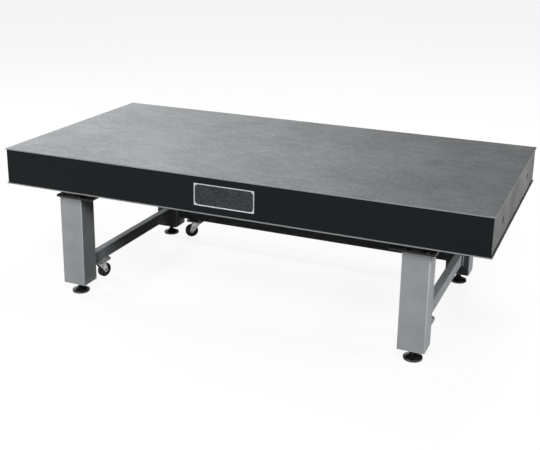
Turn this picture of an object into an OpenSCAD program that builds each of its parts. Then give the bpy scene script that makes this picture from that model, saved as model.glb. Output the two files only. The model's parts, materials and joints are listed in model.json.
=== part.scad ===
// Vibration isolation table: a honeycomb steel table top that floats on four rubber
// isolators, over a steel frame with levelling feet and swivel casters.
// Origin: on the floor, under the middle of the table top. +X runs to the right along
// the long front, -Y is the front and +Z is up. All sizes are in millimetres.

/* [Table top] */
// Length of the table top, left to right
top_len = 2400; // [2200:50:3000]
// Depth of the table top, front to back
top_depth = 1200; // [1150:50:1500]
// Thickness of the table top, outside to outside of its skins
top_thick = 180; // [150:5:260]
// Height of the working surface above the floor
top_height = 750; // [700:5:900]
// Thickness of each steel skin
skin_t = 5; // [3:0.5:8]
// Distance that the skins stand out past the side panels
skin_lip = 5; // [3:0.5:12]
// Corner radius of the skins
skin_r = 3; // [1:0.5:6]
// Sheet thickness of the folded side panels
panel_t = 3; // [2:0.5:4]
// Width of the side panels' folded flanges, outside
panel_flange = 28; // [20:1:40]

/* [Honeycomb core] */
// Distance between the centres of neighbouring cells
cell_pitch = 150; // [120:5:200]
// Thickness of the cell walls
cell_wall = 2; // [1:0.5:4]

/* [Lifting holes] */
// Distance between the two lifting holes of one end
lift_spacing = 710; // [500:10:900]
// Diameter of the tapped lifting holes
lift_hole_d = 24; // [16:1:30]
// Diameter of the clearance holes in the end panels
lift_clear_d = 30; // [30:1:40]
// Width of the lifting blocks, front to back
lift_block_w = 60; // [50:1:80]
// Thickness of the lifting blocks, left to right
lift_block_t = 50; // [40:1:70]

/* [Name plate] */
// Length of the bare name plate
name_len = 300; // [200:5:400]
// Height of the bare name plate
name_h = 105; // [60:5:120]
// Thickness of the name plate's field
name_t = 2; // [1:0.5:2.5]
// Width of the name plate's raised rim
name_rim_w = 3.5; // [2:0.5:6]
// Height of the raised rim above the field
name_rim_h = 1; // [0.5:0.1:1.5]
// Inner corner radius of the raised rim
name_r = 9; // [4:0.5:15]
// Outer corner radius of the name plate
name_corner_r = 2; // [1:0.5:4]

/* [Legs] */
// Length of the frame over the outsides of the legs
frame_len = 1875; // [1700:25:2100]
// Depth of the frame over the outsides of the legs
frame_depth = 1065; // [1000:5:1100]
// Width of a leg, left to right
leg_w = 125; // [120:1:150]
// Depth of a leg, front to back
leg_d = 110; // [106:1:130]
// Wall thickness of the leg tubes
leg_wall = 4.5; // [3:0.5:6]
// Outer corner radius of the leg tubes
leg_r = 5; // [3:0.5:8]
// Thickness of the cap plate on a leg
leg_cap_t = 10; // [8:1:16]
// Thickness of the base plate in a leg
leg_base_t = 12; // [8:1:16]
// Height of the welded nut inside a leg, above the base plate
leg_nut_h = 12; // [8:1:20]
// Diameter of the welded nut
leg_nut_d = 30; // [26:1:40]

/* [Rails] */
// Width of the rail tubes
rail_w = 40; // [30:1:50]
// Height of the rail tubes
rail_h = 60; // [40:1:80]
// Wall thickness of the rail tubes
rail_wall = 3.2; // [2:0.2:5]
// Outer corner radius of the rail tubes
rail_r = 4; // [2:0.5:6]
// Thickness of the rails' end plates
end_plate_t = 6; // [4:1:10]
// Distance that an end plate stands out past each side of its rail
end_plate_lip = 8; // [4:1:12]

/* [Isolators] */
// Thickness of the isolators' steel plates
iso_plate_t = 10; // [8:1:14]
// Distance that the isolator plates stand out past the outer side of a leg
iso_out = 20; // [10:1:30]
// Distance that the isolator plates stand out past the inner side of a leg
iso_in = 60; // [40:1:80]
// Height of the rubber block
rubber_h = 35; // [30:1:50]
// Diameter of the rubber block at its ends
rubber_d = 104; // [80:1:104]
// Height of the straight rubber lip at each end
rubber_lip = 4; // [2:0.5:6]
// Depth of the rubber block's waist
rubber_waist = 7; // [3:0.5:10]
// Distance of the isolator bolts from the long edges of the plates
iso_bolt_edge = 12; // [11:0.5:13]
// Distance of the isolator bolts from the sides of the leg and from the plate ends
iso_bolt_side = 12.5; // [11:0.5:14]
// Thickness of the tapped blocks on the inside of the bottom skin
tapped_block_t = 16; // [12:1:24]

/* [Levelling feet] */
// Diameter of a foot
foot_d = 88; // [70:1:100]
// Height of a foot's outer rim
foot_rim_h = 11; // [8:1:14]
// Edge radius of a foot's rim and hub
foot_edge_r = 2; // [1:0.5:3]
// Diameter of a foot's hub
foot_hub_d = 36; // [30:1:44]
// Height of a foot, floor to the top of its hub
foot_base_h = 26; // [22:1:30]
// Depth of the hub's socket for the stud
foot_socket = 14; // [10:1:18]
// Diameter of the studs
stud_d = 16; // [12:1:18]
// Chamfer at the top of a stud
stud_chamfer = 1; // [0.5:0.5:2]
// Height of a stud's hexagon
stud_hex_h = 8; // [6:1:12]
// Height of a lock nut
lock_nut_h = 8; // [6:1:12]
// Width across the flats of a stud's hexagon and lock nut
stud_af = 24; // [22:1:30]
// Travel of a foot up from the height shown
foot_up = 15; // [10:1:20]
// Travel of a foot down from the height shown
foot_down = 20; // [10:1:25]

/* [Casters] */
// Wheel diameter
wheel_d = 75; // [65:1:80]
// Width of the wheel's tread
wheel_w = 24; // [20:1:28]
// Distance of the wheels above the floor when the feet carry the table
wheel_lift = 5; // [2:1:10]
// Distance from the swivel axis back to the wheel's axle
caster_trail = 30; // [24:1:34]
// Distance from a front leg's rear face to its caster's swivel axis
side_caster_set = 122; // [110:1:140]
// Distance from a rear leg's inner face to its caster's swivel axis
rear_caster_set = 110; // [110:1:140]
// Diameter of the axle bolts
axle_d = 8; // [6:1:10]
// Diameter of the wheel's hub
hub_d = 24; // [20:1:28]
// Distance that the hub stands out past each side of the wheel
hub_proud = 1; // [0.5:0.5:2]
// Edge radius of the wheel's tread
wheel_edge_r = 4; // [2:0.5:5]
// Depth of the wheel's rim, from the tread in to the recess
wheel_rim = 8; // [6:0.5:10]
// Depth of the recess in each side of a wheel
wheel_recess = 5; // [3:0.5:7]
// Number of ribs in each recess
wheel_ribs = 6; // [4:1:9]
// Thickness of the ribs
rib_t = 2.5; // [1.5:0.5:4]
// Distance of the ribs in from the sides of the wheel
rib_set = 1; // [0.5:0.5:2]
// Sheet thickness of the fork
fork_t = 3; // [2:0.5:4]
// Free height between the wheel and the fork's web
fork_clear = 7; // [5:1:12]
// Distance of the fork's front edge back from the crown's edge
fork_set = 4; // [0:1:8]
// Radius of the fork's cheeks round the axle
cheek_r = 11; // [9:1:13]
// Diameter of the fork's crown and of the race ring over it
crown_d = 54; // [50:1:60]
// Thickness of the fork's crown
crown_t = 5; // [5:0.5:8]
// Height of the race ring under the caster plate
race_ring_h = 4; // [4:0.5:7]
// Free height between the race ring and the crown
race_gap = 2; // [1.5:0.1:2.5]
// Diameter of the balls
ball_d = 6; // [5:0.5:6.5]
// Number of balls in a race
ball_count = 16; // [10:1:17]
// Diameter of the kingpin
kingpin_d = 12; // [8:1:14]
// Diameter of the kingpin's two heads
kingpin_head_d = 22; // [18:1:24]
// Height of the kingpin's two heads
kingpin_head_h = 3.5; // [2:0.5:4]
// Clearance round the kingpin's upper head in the pad plate
kingpin_room = 2; // [1:0.5:3]
// Length of the caster plate, along the rail
plate_len = 96; // [90:1:110]
// Width of the caster plate, across the rail
plate_w = 84; // [82:1:100]
// Thickness of the caster plate
plate_t = 4; // [3:0.5:6]
// Corner radius of the caster plate
plate_r = 8; // [4:1:12]
// Thickness of the pad plate welded under the rail
pad_t = 5; // [5:0.5:8]
// Distance of the caster bolts from the edges of the plate
plate_bolt_edge = 12; // [11:0.5:12]

/* [Direction of the casters] */
// Direction in which the front left wheel trails, from +X towards +Y
turn_fl = 75; // [0:1:359]
// Direction in which the front right wheel trails
turn_fr = 100; // [0:1:359]
// Direction in which the rear left wheel trails
turn_rl = 212; // [0:1:359]
// Direction in which the rear right wheel trails
turn_rr = 200; // [0:1:359]

/* [Fasteners and fits] */
// Diameter of the isolator bolts
iso_bolt_d = 10; // [8:1:10]
// Width across the flats of the isolator bolts
iso_bolt_af = 17; // [15:1:17]
// Height of the isolator bolts' heads
iso_head_h = 6.4; // [5:0.1:8]
// Length of thread that an isolator bolt has in its tapped plate or block
iso_thread = 14; // [10:1:20]
// Diameter of the caster bolts
caster_bolt_d = 8; // [6:1:8]
// Width across the flats of the caster and axle bolts and their nuts
caster_bolt_af = 13; // [12:1:14]
// Height of the caster and axle bolts' heads
caster_head_h = 5.3; // [4:0.1:7]
// Height of the caster and axle bolts' nuts
caster_nut_h = 6.5; // [5:0.1:8]
// Length that a bolt or stud stands out past its nut
bolt_proud = 2; // [1:0.5:4]
// Radial clearance of shafts, bolts and pins in their holes
fit = 0.05; // [0.02:0.01:0.1]
// Clearance between the balls and their grooves
ball_fit = 0.2; // [0.1:0.05:0.3]
// Gap between a wheel's hub and each cheek of its fork
hub_gap = 0.5; // [0.3:0.1:1]
// Clearance of the core round the blocks inside the table top
core_gap = 0.5; // [0.2:0.1:1]
// Diameter of the flat face that the chamfer leaves on a hexagon, in parts of its flats
hex_face = 0.95; // [0.9:0.01:0.99]
// Angle of the hexagons' chamfers
hex_angle = 30; // [20:1:40]
// Gap left under a lock nut when its foot is fully up
nut_gap = 1; // [0.5:0.5:3]

/* [Hidden] */
$fn = 96;

// Corners of the table, as signs of X and Y
FL = [-1, -1];
FR = [1, -1];
RL = [-1, 1];
RR = [1, 1];
corners = [FL, FR, RL, RR];

// Heights of the table top
top_under = top_height - top_thick;
core_z = top_under + skin_t;
core_h = top_thick - 2 * skin_t;
top_mid = top_under + top_thick / 2;

// Plan sizes of the table top
panel_x = top_len / 2 - skin_lip;
panel_y = top_depth / 2 - skin_lip;
core_x = panel_x - panel_flange;
core_y = panel_y - panel_flange;

// Heights of the frame, from the floor up
leg_bottom = foot_base_h + stud_hex_h + foot_up + nut_gap + lock_nut_h;
leg_top = top_under - 2 * iso_plate_t - rubber_h;
leg_x = (frame_len - leg_w) / 2;
leg_y = (frame_depth - leg_d) / 2;

// Isolator plates
iso_len = leg_w + iso_out + iso_in;
iso_shift = (iso_in - iso_out) / 2;
iso_base_z = leg_top;
rubber_z = leg_top + iso_plate_t;
iso_top_z = rubber_z + rubber_h;
iso_bolt_y = leg_d / 2 - iso_bolt_edge;
base_bolt_x = leg_w / 2 - iso_bolt_side;
top_bolt_x = iso_len / 2 - iso_bolt_side;

// Feet
stud_bottom = foot_base_h - foot_socket;
stud_top = leg_bottom + leg_base_t + leg_nut_h + foot_down + bolt_proud;

// Casters, from the floor up
axle_z = wheel_lift + wheel_d / 2;
web_z = wheel_lift + wheel_d + fork_clear;
crown_z = web_z + fork_t;
ball_z = crown_z + crown_t + race_gap / 2;
ring_z = ball_z + race_gap / 2;
plate_z = ring_z + race_ring_h;
pad_z = plate_z + plate_t;
rail_z = pad_z + pad_t;
race_r = (kingpin_head_d + crown_d) / 4;
hub_w = wheel_w + 2 * hub_proud;
fork_inner = hub_w + 2 * hub_gap;
fork_outer = fork_inner + 2 * fork_t;
bolt_x = plate_len / 2 - plate_bolt_edge;
bolt_y = plate_w / 2 - plate_bolt_edge;
side_caster_y = leg_y - leg_d / 2 - side_caster_set;
rear_caster_x = leg_x - leg_w / 2 - rear_caster_set;

// Every caster: place of its swivel axis, angle of its plate and angle of its fork
CASTER_FL = [-leg_x, -side_caster_y, 90, turn_fl];
CASTER_FR = [leg_x, -side_caster_y, 90, turn_fr];
CASTER_RL = [-rear_caster_x, leg_y, 0, turn_rl];
CASTER_RR = [rear_caster_x, leg_y, 0, turn_rr];
casters = [CASTER_FL, CASTER_FR, CASTER_RL, CASTER_RR];

// Length added to a cut so that it runs clear of both faces
over = 1;

// Shapes that repeat

// Outline of a rectangle with round corners, centred
module rounded_outline(x, y, r) {
    square([x - 2 * r, y], center = true);
    square([x, y - 2 * r], center = true);
    for (i = [-1, 1], j = [-1, 1])
        translate([i * (x / 2 - r), j * (y / 2 - r)]) circle(r);
}

module rounded_plate(x, y, h, r) {
    linear_extrude(h) rounded_outline(x, y, r);
}

// Square tube with round corners, standing on the XY plane
module rounded_tube(x, y, h, wall, r) {
    linear_extrude(h) difference() {
        rounded_outline(x, y, r);
        square([x - 2 * wall, y - 2 * wall], center = true);
    }
}

// Hexagon that stands on the XY plane, with the corners of its upper end chamfered
module hexagon(af, h) {
    intersection() {
        cylinder(d = af / cos(30), h = h, $fn = 6);
        cylinder(d1 = hex_face * af + 2 * h / tan(hex_angle), d2 = hex_face * af, h = h);
    }
}

// Hexagon bolt with its head's underside on the XY plane and its shank upwards
module bolt(d, af, head_h, shank) {
    mirror([0, 0, 1]) hexagon(af, head_h);
    cylinder(d = d, h = shank);
}

module nut(d, af, h) {
    difference() {
        hexagon(af, h);
        translate([0, 0, -over]) cylinder(d = d + 2 * fit, h = h + 2 * over);
    }
}

// Four copies on a rectangle, at plus and minus x and y
module four(x, y) {
    for (i = [-1, 1], j = [-1, 1]) translate([i * x, j * y, 0]) children();
}

// Children of one leg, moved to its corner and turned so that +X points outwards
module at_leg(corner) {
    translate([corner[0] * leg_x, corner[1] * leg_y, 0])
        scale([corner[0], 1, 1]) children();
}

// Children of one caster's fixed parts, with +X along its rail
module at_caster(c) {
    translate([c[0], c[1], 0]) rotate(c[2]) children();
}

// Children of one caster's turning parts, with +X the way that its wheel trails
module at_fork(c) {
    translate([c[0], c[1], 0]) rotate(c[3]) children();
}

// Table top

module skin(z) {
    translate([0, 0, z]) rounded_plate(top_len, top_depth, skin_t, skin_r);
}

module top_skin() {
    color("lightslategray") skin(top_height - skin_t);
}

// Bottom skin with a tapped block welded inside it over each isolator
module bottom_skin() {
    color("dimgray") difference() {
        union() {
            skin(top_under);
            for (c = corners) at_leg(c)
                translate([-iso_shift, 0, core_z])
                    rounded_plate(iso_len, leg_d, tapped_block_t, leg_r);
        }
        for (c = corners) at_leg(c)
            translate([-iso_shift, 0, top_under - over])
                four(top_bolt_x, iso_bolt_y)
                    cylinder(d = iso_bolt_d + 2 * fit, h = over + iso_thread + bolt_proud);
    }
}

// Core of hexagonal cells, cut away round the blocks that lie inside the table top
module honeycomb_core() {
    row_pitch = cell_pitch * sin(60);
    columns = ceil(core_x / cell_pitch) + 1;
    rows = ceil(core_y / row_pitch) + 1;
    color("silver") difference() {
        translate([0, 0, core_z]) linear_extrude(core_h) difference() {
            square([2 * core_x, 2 * core_y], center = true);
            intersection() {
                square([2 * (core_x - cell_wall), 2 * (core_y - cell_wall)], center = true);
                for (i = [-columns:columns], j = [-rows:rows])
                    translate([(i + (j % 2) / 2) * cell_pitch, j * row_pitch]) rotate(30)
                        circle(d = (cell_pitch - cell_wall) / cos(30), $fn = 6);
            }
        }
        for (c = corners) at_leg(c)
            translate([-iso_shift, 0, core_z - over])
                rounded_plate(iso_len + 2 * core_gap, leg_d + 2 * core_gap,
                    tapped_block_t + core_gap + over, leg_r);
        for (side = [-1, 1], j = [-1, 1])
            translate([side * (panel_x - panel_t - lift_block_t / 2), j * lift_spacing / 2, top_mid])
                cube([lift_block_t + 2 * core_gap, lift_block_w + 2 * core_gap, core_h + 2 * over],
                    center = true);
    }
}

// Folded channel along X: a web that faces -Y, with two flanges that point to +Y
module channel(web_len, flange_len) {
    translate([-web_len / 2, 0, 0]) cube([web_len, panel_t, core_h]);
    for (z = [0, core_h - panel_t])
        translate([-flange_len / 2, 0, z]) cube([flange_len, panel_flange, panel_t]);
}

module long_panel() {
    translate([0, -panel_y, core_z]) channel(2 * panel_x, 2 * core_x);
}

module end_panel() {
    inner = 2 * (panel_y - panel_t);
    difference() {
        translate([panel_x, 0, core_z]) rotate(90) channel(inner, inner);
        for (j = [-1, 1])
            translate([panel_x + over, j * lift_spacing / 2, top_mid]) rotate([0, -90, 0])
                cylinder(d = lift_clear_d, h = panel_t + 2 * over);
    }
}

module front_panel() {
    color([0.1, 0.11, 0.12]) long_panel();
}

module rear_panel() {
    color([0.1, 0.11, 0.12]) rotate(180) long_panel();
}

module left_panel() {
    color([0.1, 0.11, 0.12]) rotate(180) end_panel();
}

module right_panel() {
    color([0.1, 0.11, 0.12]) end_panel();
}

// Solid steel blocks behind the end panels, each tapped right through for a lifting eye
module lifting_blocks() {
    mouth_x = panel_x - panel_t;
    block_h = core_h - 2 * panel_t;
    color("gray") for (side = [-1, 1], j = [-1, 1])
        scale([side, 1, 1]) translate([mouth_x, j * lift_spacing / 2, top_mid]) difference() {
            translate([-lift_block_t, -lift_block_w / 2, -block_h / 2])
                cube([lift_block_t, lift_block_w, block_h]);
            translate([over, 0, 0]) rotate([0, -90, 0])
                cylinder(d = lift_hole_d, h = lift_block_t + 2 * over);
        }
}

// Bare plate with a raised rim, in the middle of the front panel
module name_plate() {
    color("darkslategray") translate([0, -panel_y, top_mid]) rotate([90, 0, 0]) {
        rounded_plate(name_len, name_h, name_t, name_corner_r);
        translate([0, 0, name_t]) linear_extrude(name_rim_h) difference() {
            rounded_outline(name_len, name_h, name_corner_r);
            rounded_outline(name_len - 2 * name_rim_w, name_h - 2 * name_rim_w, name_r);
        }
    }
}

// Isolators

// Plate of an isolator, with a bolt hole in each corner given by hole_x
module isolator_plate(z, hole_x, hole_shift) {
    color([0.12, 0.12, 0.13]) translate([0, 0, z]) difference() {
        translate([-iso_shift, 0, 0]) rounded_plate(iso_len, leg_d, iso_plate_t, leg_r);
        translate([hole_shift, 0, -over]) four(hole_x, iso_bolt_y)
            cylinder(d = iso_bolt_d + 2 * fit, h = iso_plate_t + 2 * over);
    }
}

module isolator_base_plate(corner) {
    at_leg(corner) isolator_plate(iso_base_z, base_bolt_x, 0);
}

module isolator_top_plate(corner) {
    at_leg(corner) isolator_plate(iso_top_z, top_bolt_x, -iso_shift);
}

// Rubber block with a waist that is an arc between its two straight lips
module isolator_rubber(corner) {
    waist_h = rubber_h - 2 * rubber_lip;
    waist_r = (waist_h * waist_h / 4 + rubber_waist * rubber_waist) / (2 * rubber_waist);
    color([0.08, 0.08, 0.08]) at_leg(corner) translate([0, 0, rubber_z]) difference() {
        cylinder(d = rubber_d, h = rubber_h);
        rotate_extrude()
            translate([rubber_d / 2 - rubber_waist + waist_r, rubber_h / 2]) circle(waist_r);
    }
}

// Bolts that hold the base plates down on the legs' caps
module isolator_base_bolts() {
    color("silver") for (c = corners) at_leg(c)
        translate([0, 0, iso_base_z + iso_plate_t]) rotate([180, 0, 0])
            four(base_bolt_x, iso_bolt_y)
                bolt(iso_bolt_d, iso_bolt_af, iso_head_h, iso_plate_t + iso_thread);
}

// Bolts that hold the top plates up against the bottom skin
module isolator_top_bolts() {
    color("silver") for (c = corners) at_leg(c)
        translate([-iso_shift, 0, iso_top_z])
            four(top_bolt_x, iso_bolt_y)
                bolt(iso_bolt_d, iso_bolt_af, iso_head_h, iso_plate_t + iso_thread);
}

// Frame

// Leg tube with a cap plate, a base plate and a welded nut for its foot
module leg(corner) {
    color("slategray") at_leg(corner) difference() {
        union() {
            translate([0, 0, leg_bottom])
                rounded_tube(leg_w, leg_d, leg_top - leg_bottom, leg_wall, leg_r);
            translate([0, 0, leg_top - leg_cap_t]) rounded_plate(leg_w, leg_d, leg_cap_t, leg_r);
            translate([0, 0, leg_bottom]) rounded_plate(leg_w, leg_d, leg_base_t, leg_r);
            translate([0, 0, leg_bottom + leg_base_t]) cylinder(d = leg_nut_d, h = leg_nut_h);
        }
        translate([0, 0, leg_bottom - over])
            cylinder(d = stud_d + 2 * fit, h = leg_base_t + leg_nut_h + 2 * over);
        translate([0, 0, leg_top - leg_cap_t - over]) four(base_bolt_x, iso_bolt_y)
            cylinder(d = iso_bolt_d + 2 * fit, h = leg_cap_t + 2 * over);
    }
}

// Rail tube along X with a welded end plate on each end
module rail(len) {
    translate([0, 0, rail_z + rail_h / 2]) rotate([90, 0, 90]) {
        translate([0, 0, -len / 2]) rounded_tube(rail_w, rail_h, len, rail_wall, rail_r);
        for (z = [-len / 2, len / 2 - end_plate_t]) translate([0, 0, z])
            rounded_plate(rail_w + 2 * end_plate_lip, rail_h, end_plate_t, rail_r);
    }
}

// Pad plate under a rail: bolt holes, and a hole for the kingpin's head
module caster_pad() {
    translate([0, 0, pad_z]) difference() {
        rounded_plate(plate_len, plate_w, pad_t, plate_r);
        translate([0, 0, -over]) {
            four(bolt_x, bolt_y) cylinder(d = caster_bolt_d + 2 * fit, h = pad_t + 2 * over);
            cylinder(d = kingpin_head_d + 2 * kingpin_room, h = pad_t + over);
        }
    }
}

module side_rail(side) {
    color("slategray") {
        translate([side * leg_x, 0, 0]) rotate(90) rail(2 * leg_y - leg_d);
        at_caster(side < 0 ? CASTER_FL : CASTER_FR) caster_pad();
    }
}

module left_side_rail() {
    side_rail(-1);
}

module right_side_rail() {
    side_rail(1);
}

module rear_rail() {
    color("slategray") {
        translate([0, leg_y, 0]) rail(2 * leg_x - leg_w);
        at_caster(CASTER_RL) caster_pad();
        at_caster(CASTER_RR) caster_pad();
    }
}

// Levelling feet

// Domed round foot with a socket for the stud
module foot_base(corner) {
    r = foot_d / 2;
    edge_x = r - foot_edge_r;
    hub_r = foot_hub_d / 2;
    color([0.1, 0.1, 0.1]) at_leg(corner) difference() {
        rotate_extrude() {
            square([edge_x, foot_rim_h]);
            translate([0, foot_edge_r]) square([r, foot_rim_h - 2 * foot_edge_r]);
            for (z = [foot_edge_r, foot_rim_h - foot_edge_r])
                translate([edge_x, z]) circle(foot_edge_r);
            polygon([[0, foot_rim_h - over], [edge_x, foot_rim_h - over],
                [edge_x - foot_edge_r, foot_rim_h],
                [hub_r + foot_edge_r, foot_base_h - 2 * foot_edge_r],
                [hub_r, foot_base_h - foot_edge_r], [hub_r - foot_edge_r, foot_base_h],
                [0, foot_base_h]]);
        }
        translate([0, 0, stud_bottom]) cylinder(d = stud_d + 2 * fit, h = foot_socket + over);
    }
}

// Threaded stud with a hexagon that rests on the foot's hub
module foot_stud(corner) {
    color("silver") at_leg(corner) {
        translate([0, 0, stud_bottom])
            cylinder(d = stud_d, h = stud_top - stud_bottom - stud_chamfer);
        translate([0, 0, stud_top - stud_chamfer])
            cylinder(d1 = stud_d, d2 = stud_d - 2 * stud_chamfer, h = stud_chamfer);
        translate([0, 0, foot_base_h]) hexagon(stud_af, stud_hex_h);
    }
}

module lock_nuts() {
    color("silver") for (c = corners) at_leg(c)
        translate([0, 0, leg_bottom]) mirror([0, 0, 1]) nut(stud_d, stud_af, lock_nut_h);
}

// Casters

// Groove of a ball race, as a ring to be cut away
module race_groove() {
    translate([0, 0, ball_z]) rotate_extrude()
        translate([race_r, 0]) circle(d = ball_d + 2 * ball_fit);
}

// Caster plate with the upper half of the ball race under it
module caster_plate(c) {
    color("silver") at_caster(c) difference() {
        union() {
            translate([0, 0, plate_z]) rounded_plate(plate_len, plate_w, plate_t, plate_r);
            translate([0, 0, ring_z]) cylinder(d = crown_d, h = race_ring_h);
        }
        race_groove();
        translate([0, 0, ring_z - over])
            cylinder(d = kingpin_d + 2 * fit, h = race_ring_h + plate_t + 2 * over);
        translate([0, 0, plate_z - over]) four(bolt_x, bolt_y)
            cylinder(d = caster_bolt_d + 2 * fit, h = plate_t + 2 * over);
    }
}

// Bolts up through plate and pad, with their nuts beside the rail
module caster_bolts() {
    grip = plate_t + pad_t;
    color("silver") for (c = casters) at_caster(c) translate([0, 0, plate_z])
        four(bolt_x, bolt_y) {
            bolt(caster_bolt_d, caster_bolt_af, caster_head_h, grip + caster_nut_h + bolt_proud);
            translate([0, 0, grip]) nut(caster_bolt_d, caster_bolt_af, caster_nut_h);
        }
}

// Riveted kingpins, from the top of each caster plate to the underside of its fork's web
module caster_kingpins() {
    color("silver") for (c = casters) at_caster(c) {
        translate([0, 0, web_z - kingpin_head_h])
            cylinder(d = kingpin_d, h = pad_z - web_z + 2 * kingpin_head_h);
        translate([0, 0, web_z - kingpin_head_h - fit])
            cylinder(d = kingpin_head_d, h = kingpin_head_h);
        translate([0, 0, pad_z]) cylinder(d = kingpin_head_d, h = kingpin_head_h);
    }
}

module caster_balls() {
    color("silver") for (c = casters) at_caster(c)
        for (i = [0:ball_count - 1]) rotate(i * 360 / ball_count)
            translate([race_r, 0, ball_z]) sphere(d = ball_d);
}

// Point where the tangent from p touches a circle, on the side given by its sign
function tangent_point(p, centre, r, side) =
    let (d = p - centre, turn = atan2(d[1], d[0]) + side * acos(r / norm(d)))
    centre + r * [cos(turn), sin(turn)];

// Side view of the fork: from the web down to a round end at the axle
module cheek_outline() {
    axle = [caster_trail, axle_z];
    front = [fork_set - crown_d / 2, crown_z];
    back = [crown_d / 2, crown_z];
    polygon([front, tangent_point(front, axle, cheek_r, 1), axle,
        tangent_point(back, axle, cheek_r, -1), back]);
    translate(axle) circle(cheek_r);
}

// End view of the fork: a folded channel, open at the bottom
module fork_section() {
    top = crown_z - axle_z + cheek_r;
    bend = 2 * fork_t;
    translate([0, axle_z - cheek_r]) difference() {
        union() {
            translate([-fork_outer / 2, 0]) square([fork_outer, top - bend]);
            translate([-fork_outer / 2 + bend, 0]) square([fork_outer - 2 * bend, top]);
            for (i = [-1, 1]) translate([i * (fork_outer / 2 - bend), top - bend]) circle(bend);
        }
        translate([-fork_inner / 2, -over]) square([fork_inner, top - fork_t - bend / 2 + over]);
        translate([-fork_inner / 2 + bend / 2, 0]) square([fork_inner - bend, top - fork_t]);
        for (i = [-1, 1])
            translate([i * (fork_inner / 2 - bend / 2), top - fork_t - bend / 2]) circle(bend / 2);
    }
}

// Folded fork with a turned crown that holds the lower half of the ball race
module caster_fork(c) {
    length = crown_d + caster_trail + 2 * cheek_r;
    color("gainsboro") at_fork(c) difference() {
        union() {
            intersection() {
                translate([0, fork_outer, 0]) rotate([90, 0, 0])
                    linear_extrude(2 * fork_outer) cheek_outline();
                translate([-crown_d / 2, 0, 0]) rotate([90, 0, 90])
                    linear_extrude(length) fork_section();
            }
            translate([0, 0, crown_z]) cylinder(d = crown_d, h = crown_t);
        }
        race_groove();
        translate([0, 0, web_z - over])
            cylinder(d = kingpin_d + 2 * fit, h = fork_t + crown_t + 2 * over);
        translate([caster_trail, fork_outer, axle_z]) rotate([90, 0, 0])
            cylinder(d = axle_d + 2 * fit, h = 2 * fork_outer);
    }
}

// Axle bolt across the fork, with its nut
module caster_axle(c) {
    color("silver") at_fork(c) translate([caster_trail, -fork_outer / 2, axle_z])
        rotate([-90, 0, 0]) {
            bolt(axle_d, caster_bolt_af, caster_head_h, fork_outer + caster_nut_h + bolt_proud);
            translate([0, 0, fork_outer]) nut(axle_d, caster_bolt_af, caster_nut_h);
        }
}

// Moulded wheel: rounded tread, ribbed recesses and a hub that runs on the axle
module caster_wheel(c) {
    r = wheel_d / 2;
    edge_x = r - wheel_edge_r;
    rim_r = r - wheel_rim;
    web_w = wheel_w - 2 * wheel_recess;
    color([0.12, 0.12, 0.12]) at_fork(c) translate([caster_trail, 0, axle_z])
        rotate([90, 0, 0]) difference() {
            union() {
                rotate_extrude() {
                    translate([rim_r, -wheel_w / 2]) square([edge_x - rim_r, wheel_w]);
                    translate([rim_r, wheel_edge_r - wheel_w / 2])
                        square([wheel_rim, wheel_w - 2 * wheel_edge_r]);
                    for (i = [-1, 1])
                        translate([edge_x, i * (wheel_w / 2 - wheel_edge_r)]) circle(wheel_edge_r);
                    translate([0, -web_w / 2]) square([rim_r + over, web_w]);
                    translate([0, -hub_w / 2]) square([hub_d / 2, hub_w]);
                }
                for (i = [0:wheel_ribs - 1]) rotate(i * 360 / wheel_ribs)
                    translate([hub_d / 2 - over, -rib_t / 2, rib_set - wheel_w / 2])
                        cube([rim_r - hub_d / 2 + 2 * over, rib_t, wheel_w - 2 * rib_set]);
            }
            translate([0, 0, -wheel_w]) cylinder(d = axle_d + 2 * fit, h = 2 * wheel_w);
        }
}

top_skin();
bottom_skin();
honeycomb_core();
front_panel();
rear_panel();
left_panel();
right_panel();
lifting_blocks();
name_plate();
isolator_top_plate(FL);  // isolator_top_plate_fl
isolator_top_plate(FR);  // isolator_top_plate_fr
isolator_top_plate(RL);  // isolator_top_plate_rl
isolator_top_plate(RR);  // isolator_top_plate_rr
isolator_top_bolts();
leg(FL);  // leg_fl
leg(FR);  // leg_fr
leg(RL);  // leg_rl
leg(RR);  // leg_rr
left_side_rail();
right_side_rail();
rear_rail();
isolator_base_plate(FL);  // isolator_base_plate_fl
isolator_base_plate(FR);  // isolator_base_plate_fr
isolator_base_plate(RL);  // isolator_base_plate_rl
isolator_base_plate(RR);  // isolator_base_plate_rr
isolator_base_bolts();
isolator_rubber(FL);  // isolator_rubber_fl
isolator_rubber(FR);  // isolator_rubber_fr
isolator_rubber(RL);  // isolator_rubber_rl
isolator_rubber(RR);  // isolator_rubber_rr
lock_nuts();
foot_base(FL);  // foot_base_fl
foot_base(FR);  // foot_base_fr
foot_base(RL);  // foot_base_rl
foot_base(RR);  // foot_base_rr
foot_stud(FL);  // foot_stud_fl
foot_stud(FR);  // foot_stud_fr
foot_stud(RL);  // foot_stud_rl
foot_stud(RR);  // foot_stud_rr
caster_plate(CASTER_FL);  // caster_plate_fl
caster_plate(CASTER_FR);  // caster_plate_fr
caster_plate(CASTER_RL);  // caster_plate_rl
caster_plate(CASTER_RR);  // caster_plate_rr
caster_bolts();
caster_kingpins();
caster_balls();
caster_fork(CASTER_FL);  // caster_fork_fl
caster_fork(CASTER_FR);  // caster_fork_fr
caster_fork(CASTER_RL);  // caster_fork_rl
caster_fork(CASTER_RR);  // caster_fork_rr
caster_axle(CASTER_FL);  // caster_axle_fl
caster_axle(CASTER_FR);  // caster_axle_fr
caster_axle(CASTER_RL);  // caster_axle_rl
caster_axle(CASTER_RR);  // caster_axle_rr
caster_wheel(CASTER_FL);  // caster_wheel_fl
caster_wheel(CASTER_FR);  // caster_wheel_fr
caster_wheel(CASTER_RL);  // caster_wheel_rl
caster_wheel(CASTER_RR);  // caster_wheel_rr
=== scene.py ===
import json
import math

import bmesh
import bpy
from mathutils import Matrix, Vector


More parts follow.
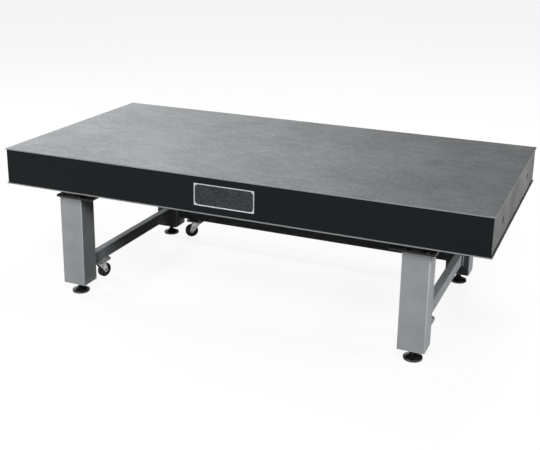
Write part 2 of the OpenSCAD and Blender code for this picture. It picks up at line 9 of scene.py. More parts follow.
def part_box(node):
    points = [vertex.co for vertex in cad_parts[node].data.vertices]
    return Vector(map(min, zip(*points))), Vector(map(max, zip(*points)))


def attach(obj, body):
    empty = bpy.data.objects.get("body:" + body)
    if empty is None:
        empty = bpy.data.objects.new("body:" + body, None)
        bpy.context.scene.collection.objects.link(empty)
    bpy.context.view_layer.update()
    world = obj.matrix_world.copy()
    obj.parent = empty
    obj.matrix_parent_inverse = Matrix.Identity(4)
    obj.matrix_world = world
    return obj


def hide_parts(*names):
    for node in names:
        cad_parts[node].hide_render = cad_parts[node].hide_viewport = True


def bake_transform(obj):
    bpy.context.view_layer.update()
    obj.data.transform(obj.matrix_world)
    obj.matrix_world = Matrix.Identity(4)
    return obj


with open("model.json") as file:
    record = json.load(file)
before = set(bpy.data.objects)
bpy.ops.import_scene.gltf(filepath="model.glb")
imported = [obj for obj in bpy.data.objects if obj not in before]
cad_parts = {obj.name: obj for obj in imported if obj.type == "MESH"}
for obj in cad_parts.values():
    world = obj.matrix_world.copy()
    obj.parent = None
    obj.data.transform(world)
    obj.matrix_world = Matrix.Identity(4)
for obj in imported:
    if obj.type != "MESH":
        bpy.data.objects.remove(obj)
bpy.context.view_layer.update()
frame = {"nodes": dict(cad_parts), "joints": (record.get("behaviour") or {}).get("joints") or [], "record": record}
scene = bpy.context.scene
corners = ("fl", "fr", "rl", "rr")
joints = {joint["name"]: joint for joint in frame["joints"]}
mounts = {mount["name"]: mount for mount in frame["record"]["mounts"]}
alongX, alongY, alongZ = Vector((1, 0, 0)), Vector((0, 1, 0)), Vector((0, 0, 1))


# Camera, solved from the slab's edges, the legs and the feet

photoCamera = {
    "place": (1.705, -4.0936, 1.9362),
    "azimuth": 22.95,
    "elevation": 16.44,
    "roll": 0.806,
    "lens": 60.755,
    "sensor": 36,
    "shiftY": -0.1,
    "farClip": 60,
}


def makeCamera(look):
    azimuth, elevation, roll = (math.radians(look[k]) for k in ("azimuth", "elevation", "roll"))
    back = Vector((math.sin(azimuth) * math.cos(elevation),
                   -math.cos(azimuth) * math.cos(elevation), math.sin(elevation)))
    side = Vector((math.cos(azimuth), math.sin(azimuth), 0))
    over = back.cross(side)
    right = side * math.cos(roll) + over * math.sin(roll)
    up = over * math.cos(roll) - side * math.sin(roll)
    data = bpy.data.cameras.new("photoCamera")
    data.sensor_width = look["sensor"]
    data.lens = look["lens"]
    data.shift_y = look["shiftY"]
    data.clip_end = look["farClip"]
    camera = bpy.data.objects.new("photoCamera", data)
    camera.matrix_world = Matrix.Translation(look["place"]) @ Matrix((right, up, back)).transposed().to_4x4()
    scene.collection.objects.link(camera)
    scene.camera = camera


makeCamera(photoCamera)
print("camera placed")


# Helpers for node trees. A noise stays mostly between 0.3 and 0.7, so spread() takes it from about there.


def addNode(tree, kind, inputs=None, **settings):
    node = tree.nodes.new(kind)
    for key, value in settings.items():
        setattr(node, key, value)
    for key, value in (inputs or {}).items():
        if isinstance(value, bpy.types.NodeSocket):
            tree.links.new(value, node.inputs[key])
        else:
            node.inputs[key].default_value = value
    return node


def calc(tree, operation, a, b=0.0, clamp=False):
    return addNode(tree, "ShaderNodeMath", {0: a, 1: b}, operation=operation, use_clamp=clamp).outputs[0]


def vectorCalc(tree, operation, *values):
    node = addNode(tree, "ShaderNodeVectorMath", dict(enumerate(values)), operation=operation)
    return node.outputs["Value" if operation in ("DOT_PRODUCT", "LENGTH") else "Vector"]


def blendColour(tree, share, a, b, mode="MIX"):
    node = addNode(tree, "ShaderNodeMix", {0: share, 6: a, 7: b}, data_type="RGBA", blend_type=mode)
    return node.outputs[2]


def spread(tree, value, low, high, toLow=0.0, toHigh=1.0):
    node = addNode(tree, "ShaderNodeMapRange", {0: value, 1: low, 2: high, 3: toLow, 4: toHigh})
    return node.outputs[0]


def shareOf(tree, mask, amount):
    return calc(tree, "MULTIPLY", mask, amount)


def objectPlace(tree):
    return addNode(tree, "ShaderNodeTexCoord").outputs["Object"]


def surfaceNormal(tree):
    return addNode(tree, "ShaderNodeNewGeometry").outputs["Normal"]


def noiseAt(tree, where, scale, detail, roughness=0.5):
    inputs = {"Vector": where, "Scale": scale, "Detail": detail, "Roughness": roughness}
    return addNode(tree, "ShaderNodeTexNoise", inputs).outputs["Fac"]


def axisPart(tree, vector, axis):
    return addNode(tree, "ShaderNodeSeparateXYZ", {0: vector}).outputs[axis]


def newGroup(name, inputs, outputs):
    tree = bpy.data.node_groups.new(name, "ShaderNodeTree")
    for label, value in inputs.items():
        socket = tree.interface.new_socket(label, in_out="INPUT", socket_type="NodeSocketFloat")
        socket.default_value = value
    for label in outputs:
        tree.interface.new_socket(label, in_out="OUTPUT", socket_type="NodeSocketFloat")
    return tree, tree.nodes.new("NodeGroupInput"), tree.nodes.new("NodeGroupOutput")


def place(tree, group, **values):
    node = addNode(tree, "ShaderNodeGroup", node_tree=group)
    for label, value in values.items():
        node.inputs[label].default_value = value
    return node.outputs


# Shared effects


def makePaintFilm():  # the faint ripple of sprayed paint and its cloudy sheen
    tree, given, result = newGroup("paintFilm", {"Ripple": 900.0, "Cloud": 7.0}, ["Height", "Cloud"])
    where = objectPlace(tree)
    tree.links.new(noiseAt(tree, where, given.outputs["Ripple"], 1.0), result.inputs["Height"])
    tree.links.new(noiseAt(tree, where, given.outputs["Cloud"], 3.0), result.inputs["Cloud"])
    return tree


def makeEdgeWear():  # 1 along the corners, broken up by noise
    tree, given, result = newGroup("edgeWear", {"Width": 0.002, "Breakup": 40.0}, ["Mask"])
    rounded = addNode(tree, "ShaderNodeBevel", {"Radius": given.outputs["Width"]}, samples=6).outputs[0]
    turn = vectorCalc(tree, "DOT_PRODUCT", rounded, surfaceNormal(tree))
    edge = spread(tree, turn, 0.995, 0.8)  # none where the surface hardly turns, full at a sharp corner
    patchy = spread(tree, noiseAt(tree, objectPlace(tree), given.outputs["Breakup"], 5.0), 0.42, 0.62)
    tree.links.new(calc(tree, "MULTIPLY", edge, patchy, clamp=True), result.inputs["Mask"])
    return tree


def makeDust():  # settles on what faces up, thicker low down
    tree, given, result = newGroup("settledDust", {"Patches": 9.0, "Low": 0.0, "High": 0.25}, ["Mask"])
    where = objectPlace(tree)
    facing, height = axisPart(tree, surfaceNormal(tree), "Z"), axisPart(tree, where, "Z")
    onTop = shareOf(tree, spread(tree, facing, 0.2, 1.0), 0.7)
    nearFloor = spread(tree, height, given.outputs["Low"], given.outputs["High"], 0.5, 0.0)
    patchy = spread(tree, noiseAt(tree, where, given.outputs["Patches"], 6.0), 0.35, 0.7)
    mask = calc(tree, "MULTIPLY", calc(tree, "ADD", onTop, nearFloor), patchy, clamp=True)
    tree.links.new(mask, result.inputs["Mask"])
    return tree


def makeBrushLines():  # fine streaks along the table, with broad mottling
    inputs = {"Fine": 900.0, "Stretch": 0.012, "Mottle": 5.0}
    tree, given, result = newGroup("brushLines", inputs, ["Streaks", "Mottle"])
    where = objectPlace(tree)
    squeeze = addNode(tree, "ShaderNodeCombineXYZ", {"X": given.outputs["Stretch"], "Y": 1.0, "Z": 1.0})
    drawn = vectorCalc(tree, "MULTIPLY", where, squeeze.outputs[0])
    tree.links.new(noiseAt(tree, drawn, given.outputs["Fine"], 3.0), result.inputs["Streaks"])
    tree.links.new(noiseAt(tree, where, given.outputs["Mottle"], 7.0, 0.62), result.inputs["Mottle"])
    return tree


def makeScuffs():  # scattered short rub marks: few cells of a pattern get one
    tree, given, result = newGroup("scuffMarks", {"Spacing": 9.0, "Share": 0.2, "Size": 0.12}, ["Mask"])
    where = objectPlace(tree)
    waves = addNode(tree, "ShaderNodeTexNoise", {"Vector": where, "Scale": 60.0, "Detail": 3.0})
    bent = vectorCalc(tree, "MULTIPLY_ADD", waves.outputs["Color"], (0.02, 0.02, 0.02), where)
    cells = addNode(tree, "ShaderNodeTexVoronoi", {"Vector": bent, "Scale": given.outputs["Spacing"]})
    draw = axisPart(tree, cells.outputs["Color"], "X")
    chosen = calc(tree, "LESS_THAN", draw, given.outputs["Share"])
    reach = calc(tree, "DIVIDE", cells.outputs["Distance"], given.outputs["Size"])
    spot = calc(tree, "SUBTRACT", 1.0, reach, clamp=True)
    patchy = spread(tree, noiseAt(tree, where, 300.0, 4.0), 0.4, 0.65)
    mask = calc(tree, "MULTIPLY", calc(tree, "MULTIPLY", chosen, spot), patchy, clamp=True)
    tree.links.new(mask, result.inputs["Mask"])
    return tree


paintFilm = makePaintFilm()
edgeWear = makeEdgeWear()
settledDust = makeDust()
brushLines = makeBrushLines()
scuffMarks = makeScuffs()
print("shared effects built")


# Finishes


def newFinish(name, **shader):
    material = bpy.data.materials.new(name)
    material.use_nodes = True
    tree = material.node_tree
    principled = tree.nodes["Principled BSDF"]
    for label, value in shader.items():
        principled.inputs[label.replace("_", " ")].default_value = value
    return material, tree, principled


def bumpFrom(tree, principled, height, strength, distance):
    bump = addNode(tree, "ShaderNodeBump", {"Height": height, "Strength": strength, "Distance": distance})
    tree.links.new(bump.outputs[0], principled.inputs["Normal"])


topSteel = {
    "light": (0.6, 0.622, 0.64, 1),
    "dark": (0.27, 0.283, 0.292, 1),
    "mottleShare": 0.26,  # these three shares of light and dark add up to 1
    "smearShare": 0.26,
    "grainShare": 0.48,
    "streakDark": 0.92,
    "streakLight": 1.06,
    "cutEdge": (0.22, 0.23, 0.24, 1),
    "fleck": (0.75, 0.76, 0.77, 1),
    # painted shade on the skins' downward faces
    "paintedShadeUnder": (0.012, 0.0135, 0.0145, 1),
    "metal": 0.93,
    "smooth": 0.4,
    "rough": 0.52,
}


def makeTopSteel(look):
    material, tree, steel = newFinish("groundTopSteel")
    lines = place(tree, brushLines, Fine=700.0, Stretch=0.012, Mottle=3.2)
    patches = place(tree, brushLines, Fine=24.0, Stretch=0.5, Mottle=60.0)
    flecks = place(tree, scuffMarks, Spacing=16.0, Share=0.16, Size=0.12)
    mottle = shareOf(tree, spread(tree, lines["Mottle"], 0.38, 0.66), look["mottleShare"])
    smears = shareOf(tree, spread(tree, patches["Streaks"], 0.3, 0.7), look["smearShare"])
    grain = shareOf(tree, spread(tree, patches["Mottle"], 0.32, 0.68), look["grainShare"])
    share = calc(tree, "ADD", calc(tree, "ADD", mottle, smears), grain)
    colour = blendColour(tree, share, look["dark"], look["light"])
    streak = spread(tree, lines["Streaks"], 0.35, 0.65, look["streakDark"], look["streakLight"])
    colour = blendColour(tree, 1.0, colour, streak, "MULTIPLY")
    colour = blendColour(tree, flecks["Mask"], colour, look["fleck"])
    facing = axisPart(tree, surfaceNormal(tree), "Z")
    edge = spread(tree, calc(tree, "ABSOLUTE", facing), 0.8, 0.5)
    colour = blendColour(tree, edge, colour, look["cutEdge"])
    under = spread(tree, facing, -0.6, -0.8)  # painted shade: the skins' downward faces are made near-black and not metallic, for the dark under the table
    tree.links.new(blendColour(tree, under, colour, look["paintedShadeUnder"]), steel.inputs["Base Color"])
    tree.links.new(spread(tree, under, 0.0, 1.0, look["metal"], 0.0), steel.inputs["Metallic"])
    sheen = spread(tree, lines["Streaks"], 0.3, 0.7, look["smooth"], look["rough"])
    tree.links.new(sheen, steel.inputs["Roughness"])
    bumpFrom(tree, steel, lines["Streaks"], strength=0.12, distance=0.0002)
    return material


panelPaint = {
    "paint": (0.0045, 0.0062, 0.0072, 1),
    "edge": (0.03, 0.032, 0.034, 1),
    "edgeShare": 0.5,
    "scuff": (0.045, 0.048, 0.05, 1),
    "scuffShare": 0.6,
    "scuffRough": 0.2,
    "dust": (0.05, 0.05, 0.048, 1),
    "dustShare": 0.5,
    "specular": 0.1,
    "smooth": 0.3,
    "rough": 0.4,
}


def makePanelPaint(look):
    material, tree, paint = newFinish("blackPanelPaint", Specular_IOR_Level=look["specular"])
    film = place(tree, paintFilm, Ripple=1400.0, Cloud=5.0)
    wear = place(tree, edgeWear, Width=0.0015, Breakup=60.0)
    dust = place(tree, settledDust, Patches=7.0, Low=0.0, High=0.01)
    scuffs = place(tree, scuffMarks, Spacing=5.0, Share=0.3, Size=0.16)
    colour = blendColour(tree, shareOf(tree, wear["Mask"], look["edgeShare"]), look["paint"], look["edge"])
    colour = blendColour(tree, shareOf(tree, scuffs["Mask"], look["scuffShare"]), colour, look["scuff"])
    colour = blendColour(tree, shareOf(tree, dust["Mask"], look["dustShare"]), colour, look["dust"])
    tree.links.new(colour, paint.inputs["Base Color"])
    sheen = spread(tree, film["Cloud"], 0.3, 0.7, look["smooth"], look["rough"])
    rough = calc(tree, "ADD", sheen, shareOf(tree, scuffs["Mask"], look["scuffRough"]))
    tree.links.new(rough, paint.inputs["Roughness"])
    bumpFrom(tree, paint, film["Height"], strength=0.05, distance=0.0002)
    return material


framePaint = {
    "paint": (0.3, 0.317, 0.33, 1),
    "shade": (0.265, 0.281, 0.293, 1),
    # pale colour for worn edges, and a painted highlight along the rounded corners
    "edge": (0.46, 0.475, 0.485, 1),
    "edgeShare": 0.9,
    # share of the painted highlight along the legs' rounded corners
    "cornerHighlight": 0.7,
    "dust": (0.34, 0.34, 0.32, 1),
    "dustShare": 0.3,
    "dustRough": 0.25,
    "specular": 0.02,
    "smooth": 0.36,
    "rough": 0.45,
}


def makeFramePaint(look):
    material, tree, paint = newFinish("greyFramePaint", Specular_IOR_Level=look["specular"])
    film = place(tree, paintFilm, Ripple=1100.0, Cloud=9.0)
    wear = place(tree, edgeWear, Width=0.0025, Breakup=35.0)
    dust = place(tree, settledDust, Patches=12.0, Low=0.02, High=0.16)
    colour = blendColour(tree, spread(tree, film["Cloud"], 0.35, 0.65), look["shade"], look["paint"])
    normal = surfaceNormal(tree)  # it leans along X and Y at once only on the legs' rounded corners
    # Painted highlight: the rounded corners take the pale edge colour all along, as if catching light
    turned = calc(tree, "MULTIPLY", axisPart(tree, normal, "X"), axisPart(tree, normal, "Y"))
    paintedCornerHighlight = spread(tree, calc(tree, "ABSOLUTE", turned), 0.1, 0.4)
    colour = blendColour(tree, shareOf(tree, paintedCornerHighlight, look["cornerHighlight"]), colour, look["edge"])
    # worn edges, broken by noise, in the same pale colour; the high share also paints a light line along them
    colour = blendColour(tree, shareOf(tree, wear["Mask"], look["edgeShare"]), colour, look["edge"])
    colour = blendColour(tree, shareOf(tree, dust["Mask"], look["dustShare"]), colour, look["dust"])
    tree.links.new(colour, paint.inputs["Base Color"])
    sheen = spread(tree, film["Cloud"], 0.3, 0.7, look["smooth"], look["rough"])
    rough = calc(tree, "ADD", sheen, shareOf(tree, dust["Mask"], look["dustRough"]))
    tree.links.new(rough, paint.inputs["Roughness"])
    bumpFrom(tree, paint, film["Height"], strength=0.12, distance=0.0003)
    return material


isolatorPlatePaint = {
    "paint": (0.012, 0.013, 0.014, 1),
    "edge": (0.12, 0.12, 0.12, 1),
    "edgeShare": 0.6,
    "dust": (0.13, 0.125, 0.115, 1),
    "dustShare": 0.25,
    "dustRough": 0.2,
    "specular": 0.3,
    "smooth": 0.38,
    "rough": 0.47,
}
footPaint = {
    "paint": (0.004, 0.004, 0.0045, 1),
    "edge": (0.1, 0.1, 0.1, 1),
    "edgeShare": 0.6,
    "dust": (0.09, 0.088, 0.08, 1),
    "dustShare": 0.06,
    "dustRough": 0.2,
    "specular": 0.9,
    "smooth": 0.1,
    "rough": 0.2,
}


def makeDarkPaint(name, look):
    material, tree, paint = newFinish(name, Specular_IOR_Level=look["specular"])
    film = place(tree, paintFilm, Ripple=1600.0, Cloud=30.0)
    wear = place(tree, edgeWear, Width=0.0012, Breakup=120.0)
    dust = place(tree, settledDust, Patches=25.0, Low=0.0, High=0.05)
    colour = blendColour(tree, shareOf(tree, wear["Mask"], look["edgeShare"]), look["paint"], look["edge"])
    colour = blendColour(tree, shareOf(tree, dust["Mask"], look["dustShare"]), colour, look["dust"])
    tree.links.new(colour, paint.inputs["Base Color"])
    sheen = spread(tree, film["Cloud"], 0.3, 0.7, look["smooth"], look["rough"])
    rough = calc(tree, "ADD", sheen, shareOf(tree, dust["Mask"], look["dustRough"]))
    tree.links.new(rough, paint.inputs["Roughness"])
    bumpFrom(tree, paint, film["Height"], strength=0.1, distance=0.0002)
    return material


namePlateLook = {
    "field": (0.01, 0.0125, 0.0135, 1),
    "fieldLight": (0.034, 0.04, 0.043, 1),
    "fieldSmooth": 0.35,
    "fieldRough": 0.5,
    "rim": (0.57, 0.58, 0.59, 1),
    "rimDull": (0.4, 0.41, 0.42, 1),
    "rimRough": 0.3,
    "rimWidth": 0.0045,
    "rimCorner": 0.018,
    "rimHeight": 0.001,
    "specular": 0.2,
}


def makeNamePlate(look):  # a bare dark field inside a raised pale rim
    low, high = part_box("name_plate")
    middle, half = (low + high) / 2, (high - low) / 2
    material, tree, plate = newFinish("etchedNamePlate", Specular_IOR_Level=look["specular"])
    where = objectPlace(tree)
    squares = []
    for axis, at, size in (("X", middle.x, half.x), ("Z", middle.z, half.z)):
        straight = size - look["rimWidth"] - look["rimCorner"]
        away = calc(tree, "ABSOLUTE", calc(tree, "SUBTRACT", axisPart(tree, where, axis), at))
        past = calc(tree, "MAXIMUM", calc(tree, "SUBTRACT", away, straight))
        squares.append(calc(tree, "MULTIPLY", past, past))
    border = calc(tree, "GREATER_THAN", calc(tree, "ADD", *squares), look["rimCorner"] ** 2)
    raised = calc(tree, "LESS_THAN", axisPart(tree, where, "Y"), low.y + look["rimHeight"] / 2)
    rim = calc(tree, "MAXIMUM", raised, border)
    grain = place(tree, brushLines, Fine=1500.0, Stretch=0.03, Mottle=90.0)
    field = blendColour(tree, spread(tree, grain["Mottle"], 0.35, 0.65), look["field"], look["fieldLight"])
    metal = blendColour(tree, spread(tree, grain["Streaks"], 0.35, 0.65), look["rimDull"], look["rim"])
    tree.links.new(blendColour(tree, rim, field, metal), plate.inputs["Base Color"])
    tree.links.new(rim, plate.inputs["Metallic"])
    fieldRough = spread(tree, grain["Mottle"], 0.3, 0.7, look["fieldSmooth"], look["fieldRough"])
    tree.links.new(spread(tree, rim, 0.0, 1.0, fieldRough, look["rimRough"]), plate.inputs["Roughness"])
    bumpFrom(tree, plate, grain["Mottle"], strength=0.15, distance=0.0002)
    return material


isolatorRubberLook = {
    "rubber": (0.011, 0.011, 0.012, 1),
    "paler": (0.019, 0.019, 0.02, 1),
    "dust": (0.1, 0.095, 0.085, 1),
    "dustShare": 0.4,
    "specular": 0.3,
    "smooth": 0.54,
    "rough": 0.7,
}


def makeIsolatorRubberFinish(look):
    material, tree, rubber = newFinish("isolatorRubber", Specular_IOR_Level=look["specular"])
    film = place(tree, paintFilm, Ripple=2600.0, Cloud=60.0)
    dust = place(tree, settledDust, Patches=40.0, Low=0.0, High=0.06)
    colour = blendColour(tree, spread(tree, film["Cloud"], 0.35, 0.7), look["rubber"], look["paler"])
    colour = blendColour(tree, shareOf(tree, dust["Mask"], look["dustShare"]), colour, look["dust"])
    tree.links.new(colour, rubber.inputs["Base Color"])
    rough = spread(tree, film["Height"], 0.3, 0.7, look["smooth"], look["rough"])
    tree.links.new(rough, rubber.inputs["Roughness"])
    bumpFrom(tree, rubber, film["Height"], strength=0.3, distance=0.0003)
    return material


wheelLook = {
    "tyreFrom": 0.0295,  # metres from the axle
    "tyre": (0.006, 0.006, 0.0066, 1),
    "tyreWorn": (0.016, 0.016, 0.0165, 1),
    "tyreRough": 0.5,
    "centre": (0.02, 0.0215, 0.0225, 1),
    "centreRough": 0.3,
    "roughVaries": 0.06,
    "dust": (0.05, 0.048, 0.044, 1),
    "dustShare": 0.3,
    "specular": 0.3,
}


# Black tyre on a moulded centre, told apart by the distance from the axle


def makeWheelFinish(corner, look):
    joint = joints[f"wheel_{corner}_spin"]
    material, tree, wheel = newFinish("wheelRubber_" + corner, Specular_IOR_Level=look["specular"])
    fromAxle = vectorCalc(tree, "SUBTRACT", objectPlace(tree), joint["pos_m"])
    radius = vectorCalc(tree, "LENGTH", vectorCalc(tree, "CROSS_PRODUCT", fromAxle, joint["axis"]))
    tyre = calc(tree, "GREATER_THAN", radius, look["tyreFrom"])
    film = place(tree, paintFilm, Ripple=3200.0, Cloud=60.0)
    dust = place(tree, settledDust, Patches=40.0, Low=0.0, High=0.06)
    worn = blendColour(tree, spread(tree, film["Cloud"], 0.35, 0.7), look["tyre"], look["tyreWorn"])
    colour = blendColour(tree, tyre, look["centre"], worn)
    colour = blendColour(tree, shareOf(tree, dust["Mask"], look["dustShare"]), colour, look["dust"])
    tree.links.new(colour, wheel.inputs["Base Color"])
    rough = spread(tree, tyre, 0.0, 1.0, look["centreRough"], look["tyreRough"])
    varied = spread(tree, film["Height"], 0.3, 0.7, -look["roughVaries"], look["roughVaries"])
    tree.links.new(calc(tree, "ADD", rough, varied), wheel.inputs["Roughness"])
    bumpFrom(tree, wheel, film["Height"], strength=0.2, distance=0.0002)
    return material


# Zinc for the caster plates, bolts, kingpins, balls and axles, made darker than the fork's zinc: painted shade for
# their place under the rails
zincPlatingPaintedShade = {
    "bright": (0.42, 0.42, 0.415, 1),
    "dull": (0.26, 0.26, 0.255, 1),
    "edge": (0.75, 0.75, 0.74, 1),
    "edgeShare": 0.5,
    "smooth": 0.28,
    "rough": 0.42,
}
forkZinc = {
    "bright": (0.66, 0.665, 0.67, 1),
    "dull": (0.27, 0.272, 0.276, 1),
    "edge": (0.9, 0.9, 0.9, 1),
    "edgeShare": 0.5,
    "smooth": 0.1,
    "rough": 0.24,
}
blockSteel = {
    "bright": (0.35, 0.34, 0.33, 1),
    "dull": (0.2, 0.19, 0.18, 1),
    "edge": (0.5, 0.5, 0.48, 1),
    "edgeShare": 0.5,
    "smooth": 0.35,
    "rough": 0.5,
}
blackOxide = {
    "bright": (0.05, 0.05, 0.052, 1),
    "dull": (0.022, 0.022, 0.024, 1),
    "edge": (0.2, 0.2, 0.2, 1),
    "edgeShare": 0.5,
    "smooth": 0.3,
    "rough": 0.45,
}


def makeBareMetal(name, look):
    material, tree, metal = newFinish(name, Metallic=1.0)
    film = place(tree, paintFilm, Ripple=2200.0, Cloud=55.0)
    wear = place(tree, edgeWear, Width=0.0008, Breakup=150.0)
    colour = blendColour(tree, spread(tree, film["Cloud"], 0.35, 0.68), look["dull"], look["bright"])
    colour = blendColour(tree, shareOf(tree, wear["Mask"], look["edgeShare"]), colour, look["edge"])
    tree.links.new(colour, metal.inputs["Base Color"])
    rough = spread(tree, film["Cloud"], 0.3, 0.7, look["rough"], look["smooth"])
    tree.links.new(rough, metal.inputs["Roughness"])
    bumpFrom(tree, metal, film["Height"], strength=0.08, distance=0.0001)
    return material


finishes = {
    "topSteel": makeTopSteel(topSteel),
    "panelPaint": makePanelPaint(panelPaint),
    "framePaint": makeFramePaint(framePaint),
    "isolatorPaint": makeDarkPaint("blackIsolatorPaint", isolatorPlatePaint),
    "footPaint": makeDarkPaint("blackFootPaint", footPaint),
    "namePlate": makeNamePlate(namePlateLook),
    "isolatorRubber": makeIsolatorRubberFinish(isolatorRubberLook),
    "zinc": makeBareMetal("zincPlatingPaintedShade", zincPlatingPaintedShade),
    "forkZinc": makeBareMetal("brightForkZinc", forkZinc),
    "blockSteel": makeBareMetal("oiledBlockSteel", blockSteel),
    "blackOxide": makeBareMetal("blackOxideSteel", blackOxide),
}
for corner in corners:
    finishes["wheel_" + corner] = makeWheelFinish(corner, wheelLook)
print("finishes made:", len(finishes))


# Dressing of the pieces that keep their shape

nodeDressing = {  # start of the piece's name: finish, width of its broken edges in metres
    "top_skin": ("topSteel", 0.0008),
    "bottom_skin": ("topSteel", 0.0008),
    "honeycomb_core": ("blockSteel", 0),
    "front_panel": ("panelPaint", 0.0008),
    "rear_panel": ("panelPaint", 0.0008),
    "left_panel": ("panelPaint", 0.0008),
    "right_panel": ("panelPaint", 0.0008),
    "lifting_blocks": ("blockSteel", 0.0006),
    "name_plate": ("namePlate", 0.0003),
    "isolator_top_plate": ("isolatorPaint", 0.0008),
    "isolator_base_plate": ("isolatorPaint", 0.0008),
    "isolator_top_bolts": ("blackOxide", 0.0004),
    "isolator_base_bolts": ("blackOxide", 0.0004),
    "isolator_rubber": ("isolatorRubber", 0),
    "leg_": ("framePaint", 0.0008),
    "left_side_rail": ("framePaint", 0.0006),
    "right_side_rail": ("framePaint", 0.0006),
    "rear_rail": ("framePaint", 0.0006),
    "lock_nuts": ("blackOxide", 0.0005),
    "foot_base": ("footPaint", 0),
    "foot_stud": ("blackOxide", 0),
    # the caster parts below take the darkened zinc, a painted shade
    "caster_plate": ("zinc", 0.0004),
    "caster_bolts": ("zinc", 0.0003),
    "caster_kingpins": ("zinc", 0.0003),
    "caster_balls": ("zinc", 0),
    "caster_fork": ("forkZinc", 0.0003),
    "caster_axle": ("zinc", 0.0003),
    "caster_wheel_fl": ("wheel_fl", 0),
    "caster_wheel_fr": ("wheel_fr", 0),
    "caster_wheel_rl": ("wheel_rl", 0),
    "caster_wheel_rr": ("wheel_rr", 0),
}
brokenEdge = {
    "joinWithin": 0.00001,  # metres
    "segments": 2,
    "sharperThan": 40,  # degrees
}


def dressNode(piece, finish, width, look):
    piece.data.materials.clear()
    piece.data.materials.append(finishes[finish])
    if width:
        weld = piece.modifiers.new("joinedEdges", "WELD")
        weld.merge_threshold = look["joinWithin"]
        bevel = piece.modifiers.new("brokenEdges", "BEVEL")
        bevel.width = width
        bevel.segments = look["segments"]
        bevel.limit_method = "ANGLE"
        bevel.angle_limit = math.radians(look["sharperThan"])


for name, piece in frame["nodes"].items():
    finish, width = next(dressing for start, dressing in nodeDressing.items() if name.startswith(start))
    dressNode(piece, finish, width, brokenEdge)
print("pieces dressed:", len(frame["nodes"]))


# Pieces made here


def newPiece(name, form, finish, body=None, smooth=True):
    mesh = bpy.data.meshes.new(name)
    bmesh.ops.recalc_face_normals(form, faces=form.faces)
    form.to_mesh(mesh)
    form.free()
    for face in mesh.polygons:
        face.use_smooth = smooth
    mesh.materials.append(finishes[finish])
    piece = bpy.data.objects.new(name, mesh)
    scene.collection.objects.link(piece)
    if body:
        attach(piece, body)
    return piece


def neighbours(things, closed):
    return list(zip(things, things[1:])) + ([(things[-1], things[0])] if closed else [])


def joinRings(form, rings, closed=False):
    for near, far in neighbours(rings, closed):
        for i in range(len(near)):
            k = (i + 1) % len(near)
            form.faces.new((near[i], near[k], far[k], far[i]))


def capRings(form, rings):
    form.faces.new(rings[0][::-1])
    form.faces.new(rings[-1])


def ringAround(form, centre, sideways, upwards, radii):
    ring = []
    for i, radius in enumerate(radii):
        turn = 2 * math.pi * i / len(radii)
        x, y = radius * math.cos(turn), radius * math.sin(turn)
        ring.append(form.verts.new(centre + sideways * x + upwards * y))
    return ring


# Rubber blocks with a waist, a fold at each lip and a mould line round the middle

rubberBlock = {
    "lip": 0.004,  # straight part at each end
    "waist": 0.007,  # how far the middle draws in
    "fold": 0.0009,
    "flash": 0.0006,  # height of the mould line
    "flashWidth": 0.0008,
    "steps": 96,
    "rows": 20,
}


def makeRubberBlock(corner, look):
    low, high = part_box("isolator_rubber_" + corner)
    centre, radius, height = (low + high) / 2, (high.x - low.x) / 2, high.z - low.z
    waistHeight = height - 2 * look["lip"]
    arc = (waistHeight ** 2 / 4 + look["waist"] ** 2) / (2 * look["waist"])
    lip = [(radius - look["fold"], 0.0)]
    for turn in (0.5, 1.0, math.pi / 2):
        lip.append((radius - look["fold"] * (1 - math.sin(turn)), look["fold"] * (1 - math.cos(turn))))
    profile = list(lip)
    for i in range(look["rows"] + 1):
        z = look["lip"] + waistHeight * i / look["rows"]
        depth = look["waist"] - arc + math.sqrt(max(0.0, arc ** 2 - (z - height / 2) ** 2))
        ridge = look["flash"] * math.exp(-((z - height / 2) / look["flashWidth"]) ** 2)
        profile.append((radius - depth + ridge, z))
    profile += [(r, height - z) for r, z in reversed(lip)]
    form = bmesh.new()
    rings = []
    for r, z in profile:
        middle = Vector((centre.x, centre.y, low.z + z))
        rings.append(ringAround(form, middle, alongX, alongY, [r] * look["steps"]))
    joinRings(form, rings)
    capRings(form, rings)
    piece = newPiece("rubber_block_" + corner, form, "isolatorRubber")
    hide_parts("isolator_rubber_" + corner)
    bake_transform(piece)


for corner in corners:
    makeRubberBlock(corner, rubberBlock)
print("rubber blocks made")


# Screw threads

threadShape = {  # cut off at 0 and 1, which leaves a flat root and a flat crest
    "overhang": 1.65,
    "slope": 4.2,
    "ringsPerTurn": 8,
}


def threadRings(form, start, along, length, look):
    sideways = along.orthogonal().normalized()
    upwards = along.cross(sideways)
    rows = int(length / look["pitch"] * threadShape["ringsPerTurn"])
    rings = []
    for j in range(rows + 1):
        s = length * j / rows
        ends = max(0.0, min(1.0, s / look["fade"], (length - s) / look["fade"]))
        radii = []
        for i in range(look["steps"]):
            phase = (s / look["pitch"] - i / look["steps"]) % 1.0
            flank = threadShape["overhang"] - threadShape["slope"] * abs(phase - 0.5)
            flank = min(1.0, max(0.0, flank))
            radii.append(look["root"] + (look["crest"] - look["root"]) * flank * ends)
        rings.append(ringAround(form, start + along * s, sideways, upwards, radii))
    joinRings(form, rings)
    return rings


footStud = {
    "root": 0.0068,
    "crest": 0.008,
    "pitch": 0.002,
    "steps": 40,
    "fade": 0.002,  # the thread runs out over this length
    "hexFlats": 0.024,
    "hexHeight": 0.008,
    "hexTurned": 0.0114,  # radius of the hexagon's turned top
    "hexChamfer": 0.0012,
    "hexPoints": 48,
}


